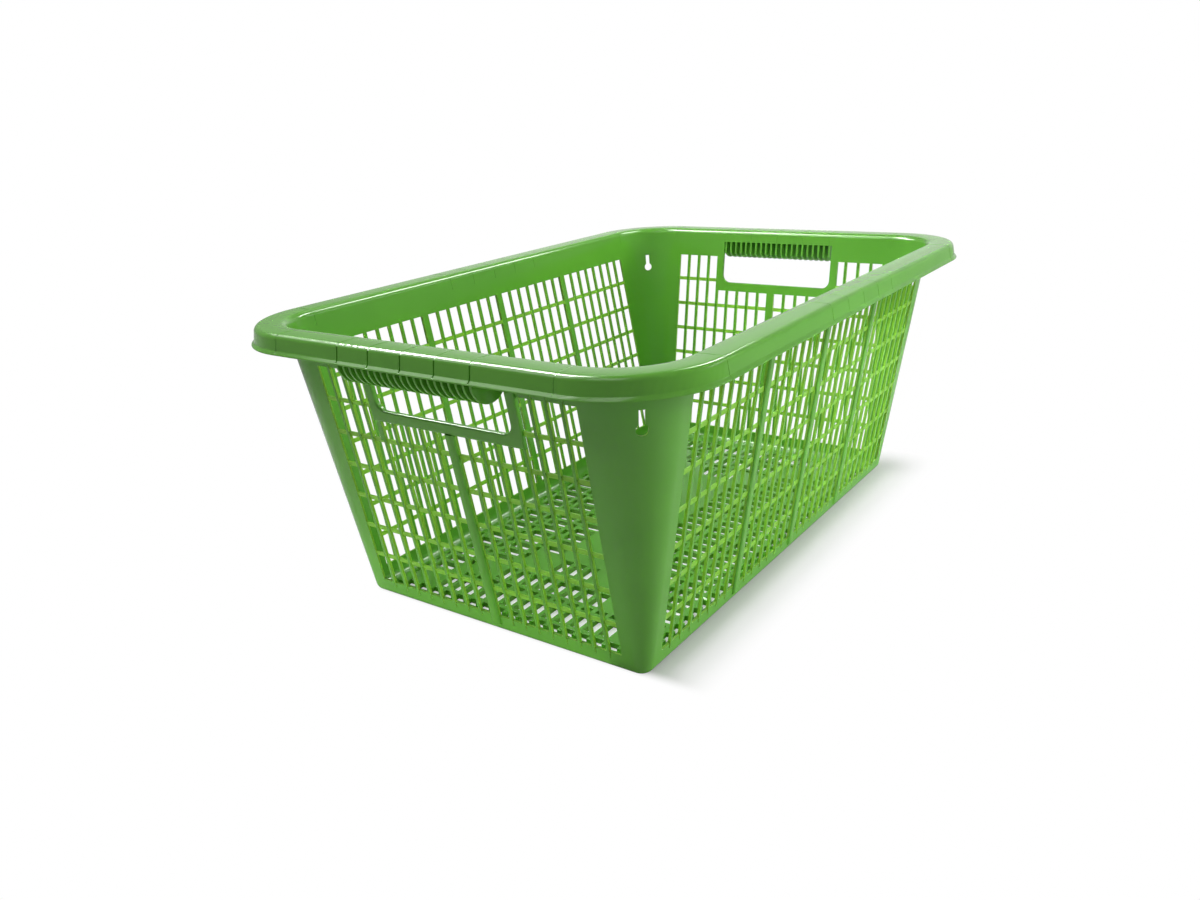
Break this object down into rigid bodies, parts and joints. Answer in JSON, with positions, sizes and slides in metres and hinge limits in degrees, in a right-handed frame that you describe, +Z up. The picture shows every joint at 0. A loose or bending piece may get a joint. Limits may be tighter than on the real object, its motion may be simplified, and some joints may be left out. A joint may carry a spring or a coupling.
{
  "type": "harvest basket",
  "caption": "Rectangular moulded plastic basket with tapered open-grille walls, a wide turned-down rim and a finned hand-hold in each end, for carrying picked fruit or laundry.",
  "frame": {"origin": "on the ground under the middle of the basket, at the bottom centre of its box", "axes": "+X along the length, +Y across the width, +Z up; the hand-holds are in the two ends, at -X and +X"},
  "size_m": [0.64, 0.44, 0.256],
  "materials": {
    "green_plastic": "leaf-green injection-moulded polypropylene, satin gloss, slightly translucent in thin edges"
  },
  "bodies": {
    "root": {"back_grille": "green_plastic", "back_left_corner_post": "green_plastic", "back_left_rim_corner": "green_plastic", "back_right_corner_post": "green_plastic", "back_right_rim_corner": "green_plastic", "back_rim_rail": "green_plastic", "back_rim_webs": "green_plastic", "back_stiffeners": "green_plastic", "base_ring": "green_plastic", "floor_grille": "green_plastic", "front_grille": "green_plastic", "front_left_corner_post": "green_plastic", "front_left_rim_corner": "green_plastic", "front_right_corner_post": "green_plastic", "front_right_rim_corner": "green_plastic", "front_rim_rail": "green_plastic", "front_rim_webs": "green_plastic", "front_stiffeners": "green_plastic", "left_back_upper_grille": "green_plastic", "left_end_rib": "green_plastic", "left_front_upper_grille": "green_plastic", "left_grip_fins": "green_plastic", "left_handle_frame": "green_plastic", "left_lower_grille": "green_plastic", "left_rim_rail": "green_plastic", "left_rim_webs": "green_plastic", "right_back_upper_grille": "green_plastic", "right_end_rib": "green_plastic", "right_front_upper_grille": "green_plastic", "right_grip_fins": "green_plastic", "right_handle_frame": "green_plastic", "right_lower_grille": "green_plastic", "right_rim_rail": "green_plastic", "right_rim_webs": "green_plastic"}
  },
  "joints": []
}
